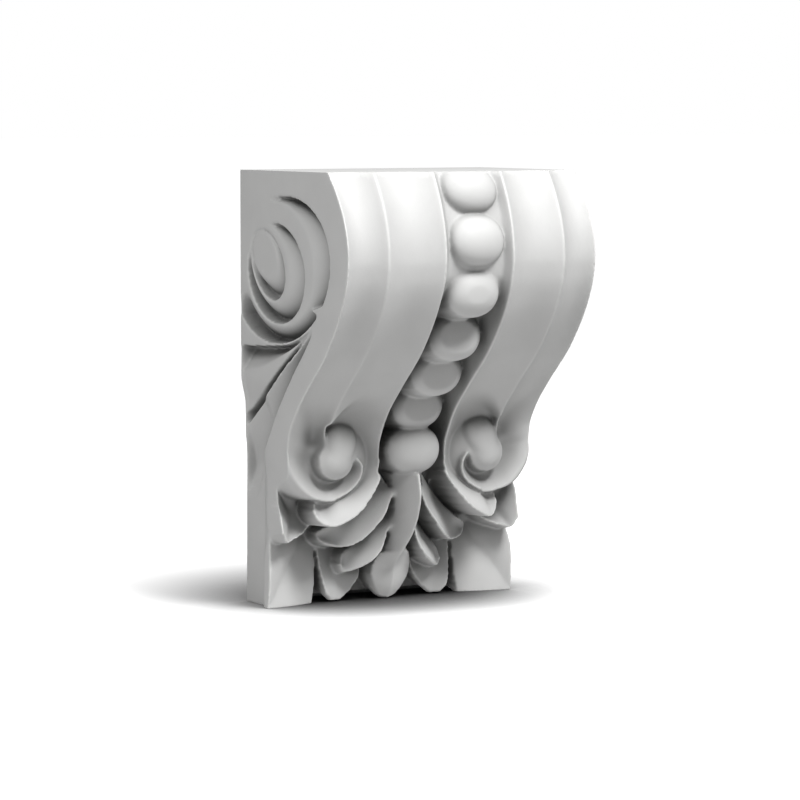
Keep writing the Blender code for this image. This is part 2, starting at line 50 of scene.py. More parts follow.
corbelSizes = {  # millimetres unless said
    # overall block
    "height": 300,
    "width": 193,
    "footWidth": 185,
    "footThickness": 26,
    "footArch": 4.5,
    "archEnds": (0.9, 0.5),  # shares of the half width where the arch begins and is full
    "archBack": (27, 20),  # depths where the arch ends and is full

    # how far the front stands out from the back, at its side edges and beside the beads
    "sideTop": 125,
    "sideBelly": 153,
    "sideNeck": 69,
    "middleTop": 143,
    "middleBelly": 161,
    "middleNeck": 76,
    # how the S sweep goes from the neck (0) to the belly (1), at shares of the height
    "neckAt": 0.4,
    "bellyAt": 0.807,
    "sweep": (
        (-0.15, -0.03), (0, 0), (0.12, 0.1), (0.25, 0.28), (0.5, 0.655), (0.75, 0.9), (0.9, 0.98),
        (1, 1), (1.2, 1),
    ),
    # depths that the drawn depths of the foot and the neck have; the real ones are above
    "drawnPlate": 26,
    "drawnNeck": 69,
    # half width of the front as a share, at percents of the height
    "frontShares": (
        (0, 1.012), (9, 1.01), (13, 0.998), (17, 0.978), (20, 0.985), (24, 0.987), (28, 0.985),
        (31, 0.99), (35, 1), (104, 1),
    ),

    # hollow bands; a sag share is of the trough's width
    "outerBand": 28.5,
    "outerSag": 7,
    "outerSagShare": 0.14,
    "outerSkew": 1.8,  # over 1 draws the trough in to the ball
    "scrollSag": 3.5,  # extra sag by the scroll
    "scrollSkew": 1.9,
    "innerSag": 9,
    "innerSagShare": 0.12,
    "innerDive": 1.2,
    # heights above the eye where a part of the bands begins, or goes from the first to the second
    "straightEnd": 24,
    "ridgeTip": 12,
    "ridgeTipLevel": 14,  # the tip stands as far forward as the ridge does here
    "rimTurn": 10,
    "innerDiveAt": (-5, -25),
    "innerLevelAt": (22, 58),
    "outerLevelAt": (3, 14),
    "outerSkewAt": (47, 14),

    # channel for the beads
    "channelWidth": 52,
    "channelDepth": 6,
    "channelWall": 5,
    "channelRound": 0.7,  # power of the wall's slope
    "overhangDepth": 16.5,  # extra depth in the overhang
    "overhang": (232, 198),  # heights where that begins and is full
    "channelEnd": -25,  # height above the eye
    "channelOver": -11,  # above this height over the eye nothing stands in the channel but beads
    "channelDrop": 18,
    "channelDropAt": (-3, -22),

    # beads
    "beadCount": 7,
    "beadWidth": 43,
    "beadLength": 36,
    "beadRise": 13,
    "beadSink": 8.5,
    "beadTilt": 8,  # degrees
    "beadLap": 38,  # degrees that the beads lean out in the overhang
    "beadSteep": (0.2, 0.8),  # slopes of the sweep where the lapping begins and is full
    "beadFlat": 0.2,
    "beadFull": 2.3,  # over 2 makes the beads squarer across
    "beadTuck": 8,
    "ballRise": 17,
    "firstBead": 288,
    "lastBead": 108,

    # scroll: its eye, and the roll that rises round it
    "eyeIn": 36.7,
    "eyeUp": 103,
    "eyeRadius": 14.5,
    "eyeDepth": 62,
    "eyeLap": 0.5,  # how far the outer trough runs in under the eye
    "eyeSpread": ((-42, -95), (-180, -120)),  # degrees over which the eye widens into the roll and back
    "rollRadius": 26.5,
    "rollRise": 12,
    "rollDepth": 63.5,
    "rollRound": 0.8,
    "rollLap": 1.5,
    # the side of the scroll outside its rim
    "rollOff": 6.5,
    "rollOffDepths": (50, 68.5),
    "rollOffSteep": 0.2,  # share of the width that is left under the eye
    "rollOffAt": (72, 34),  # degrees where it is steep and where it is full
    "rollOffFan": (-40, 95),  # degrees of the whole stretch
    "rollOffTop": 12,  # height above the eye
    # scroll rim seen from the eye: (degrees below the outward direction, share of the eye's distance
    # from the side, drawn depth)
    "rim": (
        (-12, 1.03, 67.5), (0, 0.965, 68), (10, 0.925, 68.5), (34, 0.85, 69), (65, 0.8, 67.5), (83, 0.78, 67),
        (106, 0.72, 69), (136, 0.67, 70.5), (151, 0.64, 71.5), (166, 0.58, 73), (184, 0.44, 73.5),
    ),
    "eyeFootStart": -50,  # degrees
    # where the outer hollow meets the ball of the eye: (degrees, drawn depth)
    "eyeFoot": ((-50, 72), (-20, 64), (0, 61), (90, 60.5), (150, 62), (184, 70)),
    # the crease round the roll, from the ridge's end over the top and down behind the rim
    "rollFoot": ((-292, 59), (-268, 60), (-225, 62), (-180, 62), (-140, 63), (-110, 65), (-72, 68)),
    # the rim that carries the channel's edge on round the scroll, drawn like the leaves
    "crescent": (
        (24.9, 37.7, 73.5), (24.4, 32.3, 73), (27.5, 28.7, 74), (35, 25.3, 75.5), (44.6, 22, 76.5),
        (54.7, 19.9, 75.5), (62.7, 18.9, 73), (68.9, 19, 69.5), (74.1, 20.2, 66), (76.7, 22, 63.5),
        (76.2, 24.2, 61.5),
    ),

    # side volute, from the outside in: where each turn slopes from its crest down to its crease.
    # A ring is (from the back, from the foot, half length, half height, degrees that it leans)
    "voluteTurns": (
        {
            "crest": (54.2, 237.6, 50.2, 41, -13.6),
            "crease": (57.4, 233.1, 68.9, 48.5, 8.9),
            "depth": 15,
        },
        {
            "crest": (42.3, 237.4, 29.4, 23.2, -39.3),
            "crease": (51.3, 230.8, 40.3, 32.7, -13.7),
            "depth": 12.5,
        },
        {
            "crest": (35.6, 242.4, 18.5, 13.8, -29.8),
            "crease": (39.6, 236.6, 27.4, 19, -43.5),
            "depth": 10,
        },
    ),
    "voluteWide": 9,  # a turn narrower than this is shallower too
    "voluteCurve": 1.6,
    "voluteFade": ((100, 120), (211, 203)),  # degrees round the outer turn where it runs out
    # small barb that the border sends into the volute: (from the back, from the foot)
    "barb": ((121, 213.5), (99, 208), (111, 202.5)),

    # rays that fan out on the side below the volute, seen from the point where they meet
    "fanFront": 104,
    "fanUp": 196,
    "fanDepth": 12,
    "fanDeepen": 30,  # the rays reach their depth this far from that point
    "fanFade": (72, 100),  # heights between which they run out
    "halfGroove": 1.3,  # degrees
    # how deep each ray is at its upper and its lower border, as shares
    "rayShares": ((1.0, 0.1), (0.1, 0.15), (0.7, 0.7), (0.1, 1.0)),
    # borders of the rays: (millimetres from that point, degrees below the level)
    "bandEdge": ((5, 24), (31, 22), (52, 16.7), (69, 13.5), (98, 10.1)),
    "scoopEdge": ((5, 27), (29, 25.5), (42, 25), (62, 23.2), (85, 21.4), (102, 19)),
    "grooveLine": ((5, 29), (33, 30.5), (59, 31.9), (83, 33.2), (110, 33.4)),
    "creaseLine": ((5, 56), (18, 51), (43, 48), (76, 48.7), (98, 50.2), (119, 51.3), (140, 53.4)),

    # side face: it widens from the foot to the full width, and meets the front's own edge
    "footShares": ((0, 0), (34, -0.004), (40, 0.006), (46, 0.008)),  # shares over the foot's, at percents
    "fullShares": ((53, 1), (104, 1)),
    "footFlare": 10,  # depth over which it goes over to the front's width in front of the foot plate
    "edgeFlare": 6,  # and at the least, this close to the front edge
    "edgeBorder": (2, 8),  # the carving ends between these distances from the front edge
    "backBorder": 4,

    # core that thickens behind the scroll, and the plate's corner: (height, drawn depth)
    "core": ((0, 17), (30, 18), (50, 28), (70, 40), (95, 50), (120, 56)),
    "cornerOut": 84,
    "cornerUp": 98,

    # leaves of the foot: each a hollow blade between its edge and its root; its sag is a share of its
    # width, and a high dive keeps it level from the edge and drops it near the root
    "blades": (
        # side leaf under the scroll
        {
            "edge": (
                (81.9, 26, 47), (90.2, 28, 49.5), (96.4, 31, 51.5), (101.6, 33.7, 52), (101.6, 30, 51.5),
                (101, 27, 51.5), (101, 24, 54), (100.5, 21, 57), (98.4, 17.7, 58), (93.3, 15.2, 56),
                (85, 15.8, 52.5), (76.7, 16.8, 50), (69.4, 18.3, 46),
            ),
            "root": ((79.8, 25, 44), (76.7, 23, 42), (72.5, 21.3, 41), (68.4, 19.7, 43)),
            "sag": 0.14,
            "dive": 1.3,
        },
        # corner leaf, outside its fold and inside it; a sag below zero swells
        {
            "edge": (
                (104.7, 25.3, 24), (104.7, 22, 30), (104.7, 18.7, 34.5), (104.7, 15.3, 38.5),
                (104.7, 12.2, 42.5), (104.7, 8.3, 44.3), (104.7, 4.3, 44), (104.7, -0.3, 42.3),
            ),
            "root": cornerFold,
            "sag": -0.06,
            "dive": 1,
        },
        {
            "edge": (
                (51.8, 20, 21), (56, 15.3, 26), (56.5, 9.3, 30), (57, 5.3, 31), (58.5, 2, 31.5),
                (60.1, -0.3, 32),
            ),
            "root": cornerFold,
            "sag": -0.06,
            "dive": 1,
        },
        # foot lobe
        {
            "edge": ((56.5, 14, 28), (55.4, 9.3, 31), (53.9, 5.3, 34), (51.3, 2, 36), (45.6, 0.2, 34.5)),
            "root": (
                (22.8, 12, 27), (20.2, 8, 31), (21.2, 5.5, 33.5), (24.9, 3.9, 33.5), (30.1, 2, 33.5),
                (37.3, 0.2, 33.5),
            ),
            "sag": 0.08,
            "dive": 1,
        },
        # two leaflets beside the stem
        {
            "edge": (
                (7.3, 18.7, 57), (9.7, 16.9, 56), (12.1, 14.1, 55.5), (16.5, 11.5, 56), (22.4, 9.5, 54),
                (29, 8.1, 50), (35.4, 7.1, 44.5), (40.6, 7.1, 40.5), (42.5, 8.7, 41),
            ),
            "root": (
                (8.3, 22, 46), (15.5, 19.3, 44), (22.8, 17, 43), (31.1, 14.3, 41), (38.3, 12.3, 39),
                (42, 10.3, 39),
            ),
            "sag": 0.12,
            "dive": 1.8,
        },
        {
            "edge": (
                (10.4, 26, 64), (13.6, 23, 63.8), (17.4, 20.6, 64.5), (22.3, 18.6, 64), (27.6, 16.6, 62),
                (33.3, 14.9, 59.5), (39.3, 13.6, 56), (45.6, 13.1, 52), (52.1, 13.4, 48.5), (58, 14, 45),
                (62.2, 15.3, 41),
            ),
            "root": (
                (16.6, 30, 56), (23.8, 27, 53), (31.1, 24.3, 51), (39.4, 21.7, 50), (49.7, 19.3, 48),
                (58, 18, 44), (63.2, 16.7, 40),
            ),
            "sag": 0.12,
            "dive": 1.8,
        },
    ),

    # middle stem and tongue, by height: how far forward, half width and how far its sides fall away
    "stemRidge": (
        (0, 34), (2, 38), (9.5, 43), (23, 46), (30, 51), (36.6, 60), (49.3, 74), (62.7, 82), (76, 85),
        (90, 82), (100, 76),
    ),
    "stemHalf": (
        (0, 3), (1.5, 6), (6, 10), (11, 13.2), (17.7, 15.8), (24, 16), (30, 14.8), (34.5, 12), (36, 10),
        (44, 9), (62, 9.5), (76, 11), (92, 14),
    ),
    "stemFall": (
        (0, 3), (10, 6), (24, 6), (34, 11), (37, 16), (44, 21), (60, 25), (80, 24), (100, 18),
    ),
    "stemTop": 100,
    "stemRound": 0.7,
}
halfWidth = corbelSizes["width"] / 2
fullHeight = corbelSizes["height"]
channelOut = corbelSizes["channelWidth"] / 2
ridgeOut = halfWidth - corbelSizes["outerBand"]
eyeOut = halfWidth - corbelSizes["eyeIn"]
eyeUp = corbelSizes["eyeUp"]

curveValues = {
    "steps": 6,  # short stretches between two drawn points
    "straightSteps": 40,
    "arcSteps": 50,
    "rollSteps": 40,
    "sweepSteps": 200,
    "overTop": 4,  # millimetres above the top where straight edges start
    "nearness": 7,  # how steeply the pull of a curve grows with nearness
    "pullOfLine": 1.2,  # what a long straight line pulls one millimetre away
    "blendFrom": (2, 7),  # millimetres over which the plain distance goes over to the blended one
    # these keep divisions from zero
    "closest": 0.05,
    "inset": 0.01,
    "smallest": 1e-6,
    "levelRun": 1e-9,
}


# a curve that runs through its stations without overshooting, read at some places
def smooth(stations, at):
    places, values = np.array(sorted(stations), dtype=float).T
    spans = np.diff(places)
    slopes = np.diff(values) / spans
    before, after = slopes[:-1], slopes[1:]
    sameWay = before * after > 0
    tangents = np.empty_like(values)
    tangents[0], tangents[-1] = slopes[0], slopes[-1]
    tangents[1:-1] = np.where(sameWay, 2 * before * after / np.where(sameWay, before + after, 1), 0)
    index = np.clip(np.searchsorted(places, at) - 1, 0, len(spans) - 1)
    share = np.clip((at - places[index]) / spans[index], 0, 1)
    span = spans[index]
    low, high = values[index], values[index + 1]
    rise = high - low
    first, last = tangents[index] * span, tangents[index + 1] * span
    bend = share**2 * (3 * rise - 2 * first - last)
    return low + share * first + bend + share**3 * (first + last - 2 * rise)


# from 0 at the first place to 1 at the second
def ease(low, high, at):
    share = np.clip((at - low) / (high - low), 0, 1)
    return share * share * (3 - 2 * share)


# the same between two heights above the eye
def easeOverEye(heights, up):
    return ease(eyeUp + heights[0], eyeUp + heights[1], up)


# smooth curve through all of its points
def through(points):
    ends = np.vstack((2 * points[0] - points[1], points, 2 * points[-1] - points[-2]))
    share = np.linspace(0, 1, curveValues["steps"], endpoint=False)[:, None]
    spans = []
    for before, start, end, after in zip(ends[:-3], ends[1:-2], ends[2:-1], ends[3:]):
        leave, reach = (end - before) / 2, (after - start) / 2
        spans.append(
            start * (1 - 3 * share**2 + 2 * share**3) + end * (3 * share**2 - 2 * share**3)
            + leave * (share - 2 * share**2 + share**3) + reach * (share**3 - share**2))
    return np.vstack(spans + [points[-1:]])


# distance from each point to a curve, and how far forward the curve stands there
def nearest(out, up, curve):
    # every stretch pulls with a steep power of its nearness, so that no crease shows
    # where two stretches are equally near
    nearness = curveValues["nearness"]
    pull = np.zeros(out.shape)
    forward = np.zeros(out.shape)
    shortest = np.full(out.shape, np.inf)
    for start, end in zip(curve[:-1], curve[1:]):
        run = end[:2] - start[:2]
        length = max(float(np.hypot(*run)), curveValues["smallest"])
        share = np.clip(((out - start[0]) * run[0] + (up - start[1]) * run[1]) / length**2, 0, 1)
        gap = np.hypot(out - start[0] - share * run[0], up - start[1] - share * run[1])
        shortest = np.minimum(shortest, gap)
        part = length / np.maximum(gap, curveValues["closest"]) ** nearness
        pull += part
        forward += part * (start[2] + share * (end[2] - start[2]))
    blended = (pull / curveValues["pullOfLine"]) ** (-1 / (nearness - 1))
    return shortest + ease(*curveValues["blendFrom"], shortest) * (blended - shortest), forward / pull


# true where a point lies inside a closed outline
def within(out, up, outline):
    found = np.zeros(out.shape, dtype=bool)
    for start, end in zip(outline, np.roll(outline, -1, axis=0)):
        crosses = (start[1] > up) != (end[1] > up)
        run = end[1] - start[1]
        if abs(run) <= curveValues["levelRun"]:
            run = curveValues["levelRun"]
        at = start[0] + (up - start[1]) * (end[0] - start[0]) / run
        found ^= crosses & (out < at)
    return found


# a surface hung between two curves like a shallow trough, and where it lies
def hollow(out, up, edge, root, sagShare, sagLimit=99.0, skew=1.0, dive=1.0):
    inside = within(out, up, np.vstack((edge, root[::-1]))[:, :2])
    toEdge, edgeForward = nearest(out, up, edge)
    toRoot, rootForward = nearest(out, up, root)
    width = np.maximum(toEdge + toRoot, curveValues["smallest"])
    share = toEdge / width
    sag = np.minimum(width * sagShare, sagLimit)
    drawnIn = share**skew
    chord = edgeForward + share**dive * (rootForward - edgeForward)
    return chord - sag * 4 * drawnIn * (1 - drawnIn), inside


# how far forward a line of the S profile stands, in millimetres
def sweepForward(up, top, belly, neck):
    share = up / fullHeight
    neckAt, bellyAt = corbelSizes["neckAt"], corbelSizes["bellyAt"]
    below = neck + (belly - neck) * smooth(corbelSizes["sweep"], (share - neckAt) / (bellyAt - neckAt))
    above = belly - (belly - top) * (np.maximum(share - bellyAt, 0) / (1 - bellyAt)) ** 2
    return np.where(share < bellyAt, below, above)


def sideLine(up):
    return sweepForward(up, corbelSizes["sideTop"], corbelSizes["sideBelly"], corbelSizes["sideNeck"])


def middleLine(up):
    return sweepForward(up, corbelSizes["middleTop"], corbelSizes["middleBelly"], corbelSizes["middleNeck"])


# ridge between the two bands, on a curve that bulges from the side to the middle
def ridgeLine(up):
    share = 1 - ((ridgeOut - channelOut) / (halfWidth - channelOut)) ** 2
    return sideLine(up) + share * (middleLine(up) - sideLine(up))


# the drawn depths turned into real ones, tied to the foot plate and the neck
def stand(forward):
    plate, neck = corbelSizes["drawnPlate"], corbelSizes["drawnNeck"]
    slope = (corbelSizes["sideNeck"] - corbelSizes["footThickness"]) / (neck - plate)
    return np.where(
        forward < plate,
        forward * corbelSizes["footThickness"] / plate,
        corbelSizes["footThickness"] + (forward - plate) * slope,
    )


# drawn points made millimetres
def drawn(points):
    curve = np.array(points, dtype=float)
    out, up = curve[:, 0] * halfWidth / 100, curve[:, 1] * fullHeight / 100
    return np.column_stack((out, up, stand(curve[:, 2])))


# an edge of a band, straight down from just over the top to the given height
def straight(out, line, low):
    steps = curveValues["straightSteps"]
    ups = np.linspace(fullHeight + curveValues["overTop"], low, steps)
    return np.column_stack((np.full(steps, out), ups, line(ups)))


# an arc about the eye; degrees run down from the outward direction
def aroundEye(radii, angles, depths):
    turned = np.radians(-angles)
    return np.column_stack((eyeOut + radii * np.cos(turned), eyeUp + radii * np.sin(turned), stand(depths)))


# plate, core behind the scroll, and the stem and tongue on the middle line
def plateAndStem(out, up):
    sizes = corbelSizes
    corner = (out > sizes["cornerOut"]) & (up < sizes["cornerUp"])
    forward = stand(np.where(corner, sizes["drawnPlate"], smooth(sizes["core"], up)))
    half = smooth(sizes["stemHalf"], up)
    fall = smooth(sizes["stemFall"], up) * np.clip(out / half, 0, 1) ** sizes["stemRound"]
    stem = stand(smooth(sizes["stemRidge"], up)) - fall
    return np.where((out < half) & (up < sizes["stemTop"]), np.maximum(stem, forward), forward)


# leaves of the foot, laid over what is there
def addLeaves(forward, out, up):
    for blade in corbelSizes["blades"]:
        edge, root = (through(drawn(blade[line])) for line in ("edge", "root"))
        surface, inside = hollow(out, up, edge, root, blade["sag"], dive=blade["dive"])
        forward = np.where(inside, np.maximum(forward, surface), forward)
    return forward


# rim of the outer band, from the top down and around the eye
def rimCurve():
    turns, radii, depths = np.array(corbelSizes["rim"]).T
    angles = np.linspace(turns[0], turns[-1], curveValues["arcSteps"])
    spiralRadii = smooth(list(zip(turns, radii)), angles) * corbelSizes["eyeIn"]
    spiral = aroundEye(spiralRadii, angles, smooth(list(zip(turns, depths)), angles))
    return np.vstack((straight(halfWidth, sideLine, eyeUp + corbelSizes["rimTurn"]), spiral))


# inner band, with the channel's edge running on into the big crescent
def addInnerBand(forward, out, up, ridge):
    sizes = corbelSizes
    rollTurns = sizes["rollFoot"]
    angles = np.linspace(rollTurns[-1][0], rollTurns[0][0], curveValues["rollSteps"])
    radii = np.full(angles.shape, sizes["rollRadius"] - sizes["rollLap"])
    root = np.vstack((ridge, aroundEye(radii, angles, smooth(rollTurns, angles))))
    downEdge = straight(channelOut, middleLine, eyeUp + sizes["straightEnd"])
    channelEdge = np.vstack((downEdge, through(drawn(sizes["crescent"]))))
    dive = 1 + sizes["innerDive"] * easeOverEye(sizes["innerDiveAt"], up)
    surface, inside = hollow(
        out, up, channelEdge, root, sizes["innerSagShare"], sizes["innerSag"], dive=dive)
    # higher up it is level across, however the sweep slopes
    share = (out - channelOut) / (ridgeOut - channelOut)
    sag = sizes["innerSag"] * 4 * share * (1 - share)
    level = middleLine(up) + share * (ridgeLine(up) - middleLine(up)) - sag
    surface += easeOverEye(sizes["innerLevelAt"], up) * (level - surface)
    return np.where(inside, np.maximum(forward, surface), forward)


# channel for the beads, deeper in the overhang
def addChannel(forward, out, up):
    sizes = corbelSizes
    inChannel = (out < channelOut) & (up > eyeUp + sizes["channelEnd"])
    wall = np.clip((channelOut - out) / sizes["channelWall"], 0, 1) ** sizes["channelRound"]
    wall *= sizes["channelDepth"] + sizes["overhangDepth"] * ease(*sizes["overhang"], up)
    floor = middleLine(up) - wall - sizes["channelDrop"] * easeOverEye(sizes["channelDropAt"], up)
    forward = np.where(inChannel & (up > eyeUp + sizes["channelOver"]), floor, forward)
    return np.where(inChannel, np.maximum(floor, forward), forward)


# heights of the beads, spaced evenly along the sweep
def beadHeights():
    ups = np.linspace(corbelSizes["firstBead"], corbelSizes["lastBead"], curveValues["sweepSteps"])
    forwards = middleLine(ups)
    lengths = np.concatenate(((0,), np.cumsum(np.hypot(np.diff(ups), np.diff(forwards)))))
    return np.interp(np.linspace(0, lengths[-1], corbelSizes["beadCount"]), lengths, ups)


# how far forward one bead stands: an ellipsoid that leans with the sweep; zero where there is no bead
def beadForward(out, up, beadUp, high):
    sizes = corbelSizes
    slope = float(middleLine(np.array(beadUp + 1.0)) - middleLine(np.array(beadUp - 1.0))) / 2
    # the lower beads lap like coins: they lean out at the bottom and have a flat face
    steep = float(ease(*sizes["beadSteep"], slope))
    tilt = sizes["beadTilt"] + (sizes["beadLap"] - sizes["beadTilt"]) * steep
    lean = math.atan(slope) - math.radians(tilt)
    along, rise = (math.cos(lean), math.sin(lean)), (-math.sin(lean), math.cos(lean))
    centre = float(middleLine(np.array(beadUp))) - sizes["beadSink"] - sizes["beadTuck"] * steep
    drop = up - beadUp
    half, long = sizes["beadWidth"] / 2, sizes["beadLength"] / 2
    square = (along[1] / long) ** 2 + (rise[1] / high) ** 2
    cross = drop * (along[0] * along[1] / long**2 + rise[0] * rise[1] / high**2)
    down = drop**2 * ((along[0] / long) ** 2 + (rise[0] / high) ** 2)
    rest = (out / half) ** sizes["beadFull"] + down - 1
    room = cross**2 - square * rest
    surface = centre + (np.sqrt(np.maximum(room, 0)) - cross) / square
    face = centre + (high * (1 - sizes["beadFlat"] * steep) + math.sin(lean) * drop) / math.cos(lean)
    return np.where(room > 0, np.minimum(surface, face), 0.0)


# beads down the channel; the lowest is a fuller ball
def addBeads(forward, out, up):
    for beadUp in beadHeights():
        lowest = beadUp <= corbelSizes["lastBead"] + 1
        rise = corbelSizes["ballRise"] if lowest else corbelSizes["beadRise"]
        forward = np.maximum(forward, beadForward(out, up, beadUp, rise))
    return forward


# scroll: the roll's dome, and its side that rolls off outside the rim, steeply under the eye
def addRoll(forward, out, up, rim):
    sizes = corbelSizes
    away = np.hypot(out - eyeOut, up - eyeUp)
    radius = sizes["rollRadius"]
    rise = np.clip(1 - away / radius, 0, 1) ** sizes["rollRound"]
    dome = stand(sizes["rollDepth"]) + sizes["rollRise"] * rise
    forward = np.where(away < radius, np.maximum(forward, dome), forward)

    angle = np.degrees(np.arctan2(eyeUp - up, out - eyeOut))
    least = sizes["rollOffSteep"]
    width = sizes["rollOff"] * (least + (1 - least) * ease(*sizes["rollOffAt"], angle))
    share = nearest(out, up, rim)[0] / width
    low, high = (stand(depth) for depth in sizes["rollOffDepths"])
    wall = high - (high - low) * (1 - np.sqrt(1 - np.clip(share, 0, 1) ** 2))
    fanFrom, fanTo = sizes["rollOffFan"]
    beside = (share < 1) & (angle > fanFrom) & (angle < fanTo) & (up < eyeUp + sizes["rollOffTop"])
    return np.where(beside, np.maximum(forward, wall), forward)


# outer band, which winds in under the eye; its trough draws in to the ball
def addOuterBand(forward, out, up, rim, ridge):
    sizes = corbelSizes
    tipForward = ridgeLine(np.array(eyeUp + sizes["ridgeTipLevel"]))
    ridgeTip = np.array(((ridgeOut, eyeUp + sizes["ridgeTip"], tipForward),))
    angles = np.linspace(sizes["eyeFootStart"], sizes["rim"][-1][0], curveValues["arcSteps"])
    radii = np.full(angles.shape, sizes["eyeRadius"] - sizes["eyeLap"])
    root = np.vstack((ridge, ridgeTip, aroundEye(radii, angles, smooth(sizes["eyeFoot"], angles))))
    surface, inside = hollow(
        out, up, rim, root, sizes["outerSagShare"], sizes["outerSag"], skew=sizes["outerSkew"])
    share = (halfWidth - out) / (halfWidth - ridgeOut)
    nearScroll = easeOverEye(sizes["outerSkewAt"], up)
    skewed = np.clip(share, 0, 1) ** (1 + sizes["scrollSkew"] * nearScroll)
    sag = (sizes["outerSag"] + sizes["scrollSag"] * nearScroll) * 4 * skewed * (1 - skewed)
    level = sideLine(up) + share * (ridgeLine(up) - sideLine(up)) - sag
    surface += easeOverEye(sizes["outerLevelAt"], up) * (level - surface)
    return np.where(inside, surface, forward)


# eye, which spreads up and inwards to the crease of the roll
def addEye(forward, out, up):
    sizes = corbelSizes
    away = np.hypot(out - eyeOut, up - eyeUp)
    angle = np.degrees(np.arctan2(eyeUp - up, out - eyeOut))
    opening, closing = sizes["eyeSpread"]
    spread = ease(*opening, angle) * ease(*closing, angle)
    reach = sizes["eyeRadius"] + (sizes["rollRadius"] - sizes["eyeRadius"]) * spread
    ball = stand(sizes["eyeDepth"]) + sizes["eyeRadius"] * np.sqrt(np.clip(1 - (away / reach) ** 2, 0, None))
    return np.where(away < reach, np.maximum(forward, ball), forward)


# how far forward the carved front stands, in millimetres, for one half
def frontForward(out, up):
    out = np.minimum(out, halfWidth - curveValues["inset"])
    rim = rimCurve()
    ridge = straight(ridgeOut, ridgeLine, eyeUp + corbelSizes["straightEnd"])
    forward = plateAndStem(out, up)
    forward = addLeaves(forward, out, up)
    forward = addInnerBand(forward, out, up, ridge)
    forward = addChannel(forward, out, up)
    forward = addBeads(forward, out, up)
    forward = addRoll(forward, out, up, rim)
    forward = addOuterBand(forward, out, up, rim, ridge)
    return addEye(forward, out, up)


# half width of the front at a height
def frontHalf(up):
    return halfWidth * smooth(corbelSizes["frontShares"], up / fullHeight * 100)


# millimetres outside a leaning ring; below zero inside it
def pastRing(back, up, ring):
    fromBack, fromFoot, halfLength, halfHeight, leaning = ring
    lean = math.radians(leaning)
    along = (back - fromBack) * math.cos(lean) + (up - fromFoot) * math.sin(lean)
    across = (up - fromFoot) * math.cos(lean) - (back - fromBack) * math.sin(lean)
    return (np.hypot(along / halfLength, across / halfHeight) - 1) * math.sqrt(halfLength * halfHeight)


# how deep the side is cut by the volute, for a distance from the back and a height
def sideRecess(back, up):
    sizes = corbelSizes
    cut = np.zeros(back.shape)
    for index, turn in enumerate(sizes["voluteTurns"]):
        pastCrest = pastRing(back, up, turn["crest"])
        pastCrease = pastRing(back, up, turn["crease"])
        lune = np.maximum(pastCrest - pastCrease, curveValues["smallest"])
        share = np.clip(pastCrest / lune, 0, 1)
        deep = turn["depth"] * np.minimum(lune / sizes["voluteWide"], 1)
        onSlope = (pastCrest > 0) & (pastCrease < 0)
        cut = np.where(pastCrest < 0, 0, np.where(onSlope, deep * share ** sizes["voluteCurve"], cut))
        if index == 0:
            # the outer turn runs out into the flat of the block behind it
            centreBack, centreUp = turn["crest"][:2]
            roundTo = np.degrees(np.arctan2(up - centreUp, back - centreBack)) % 360
            opening, closing = sizes["voluteFade"]
            cut = cut * (1 - ease(*opening, roundTo) * ease(*closing, roundTo))
    return cut


# rays on the side that spread to the back from a point behind the front edge
def fanRecess(back, up):
    sizes = corbelSizes
    run = sizes["fanFront"] - back
    drop = sizes["fanUp"] - up
    angle = np.degrees(np.arctan2(drop, np.maximum(run, curveValues["inset"])))
    away = np.hypot(run, drop)
    band, scoop, groove, crease = (
        smooth(sizes[line], away) for line in ("bandEdge", "scoopEdge", "grooveLine", "creaseLine"))
    borders = (band, scoop, groove - sizes["halfGroove"], groove + sizes["halfGroove"], crease)
    deep = sizes["fanDepth"] * np.clip(away / sizes["fanDeepen"], 0, 1) * (run > 0)
    cut = np.zeros(back.shape)
    for low, high, (first, last) in zip(borders[:-1], borders[1:], sizes["rayShares"]):
        share = np.clip((angle - low) / (high - low), 0, 1)
        cut = np.where((angle >= low) & (angle < high), deep * (first + share * (last - first)), cut)
    return cut * ease(*sizes["fanFade"], up)


# how far out the side face stands, up to the front edge
def sideOut(back, up, front):
    sizes = corbelSizes
    foot = sizes["footWidth"] / sizes["width"]
    shares = tuple((percent, foot + more) for percent, more in sizes["footShares"]) + sizes["fullShares"]
    plain = halfWidth * smooth(shares, up / fullHeight * 100)
    flare = ease(sizes["footThickness"], sizes["footThickness"] + sizes["footFlare"], back)
    flare = np.maximum(flare, ease(front - sizes["edgeFlare"], front, back))
    edge = plain + (frontHalf(up) - plain) * flare
    inVolute = pastRing(back, up, sizes["voluteTurns"][0]["crease"]) < 0
    cut = np.where(inVolute, sideRecess(back, up), fanRecess(back, up))
    cut = np.where(within(back, up, np.array(sizes["barb"])), 0, cut)
    outside, inner = sizes["edgeBorder"]
    return edge - cut * ease(front - outside, front - inner, back) * ease(0, sizes["backBorder"], back)


# steps and ridges rounded a little, as a casting's edges are
def soften(sheet, times):
    for _ in range(times):
        for _ in range(2):
            padded = np.concatenate((sheet[:1], sheet, sheet[-1:]))
            sheet = ((padded[:-2] + padded[2:]) / 4 + sheet / 2).T
    return sheet


# one carved sheet: a grid primitive whose vertices are moved onto the surface, row by row
def carvedSheet(points):
    rows, columns = points.shape[0] - 1, points.shape[1] - 1
    bpy.ops.object.select_all(action="DESELECT")
    bpy.ops.mesh.primitive_grid_add(x_subdivisions=columns, y_subdivisions=rows, size=2, calc_uvs=False)
    sheet = bpy.context.object
    places = np.empty(len(sheet.data.vertices) * 3, np.float32)
    sheet.data.vertices.foreach_get("co", places)
    places = places.reshape(-1, 3)
    column = np.rint((places[:, 0] + 1) / 2 * columns).astype(int)
    row = np.rint((places[:, 1] + 1) / 2 * rows).astype(int)
    sheet.data.vertices.foreach_set("co", (points[row, column] / 1000).astype(np.float32).ravel())
    return sheet


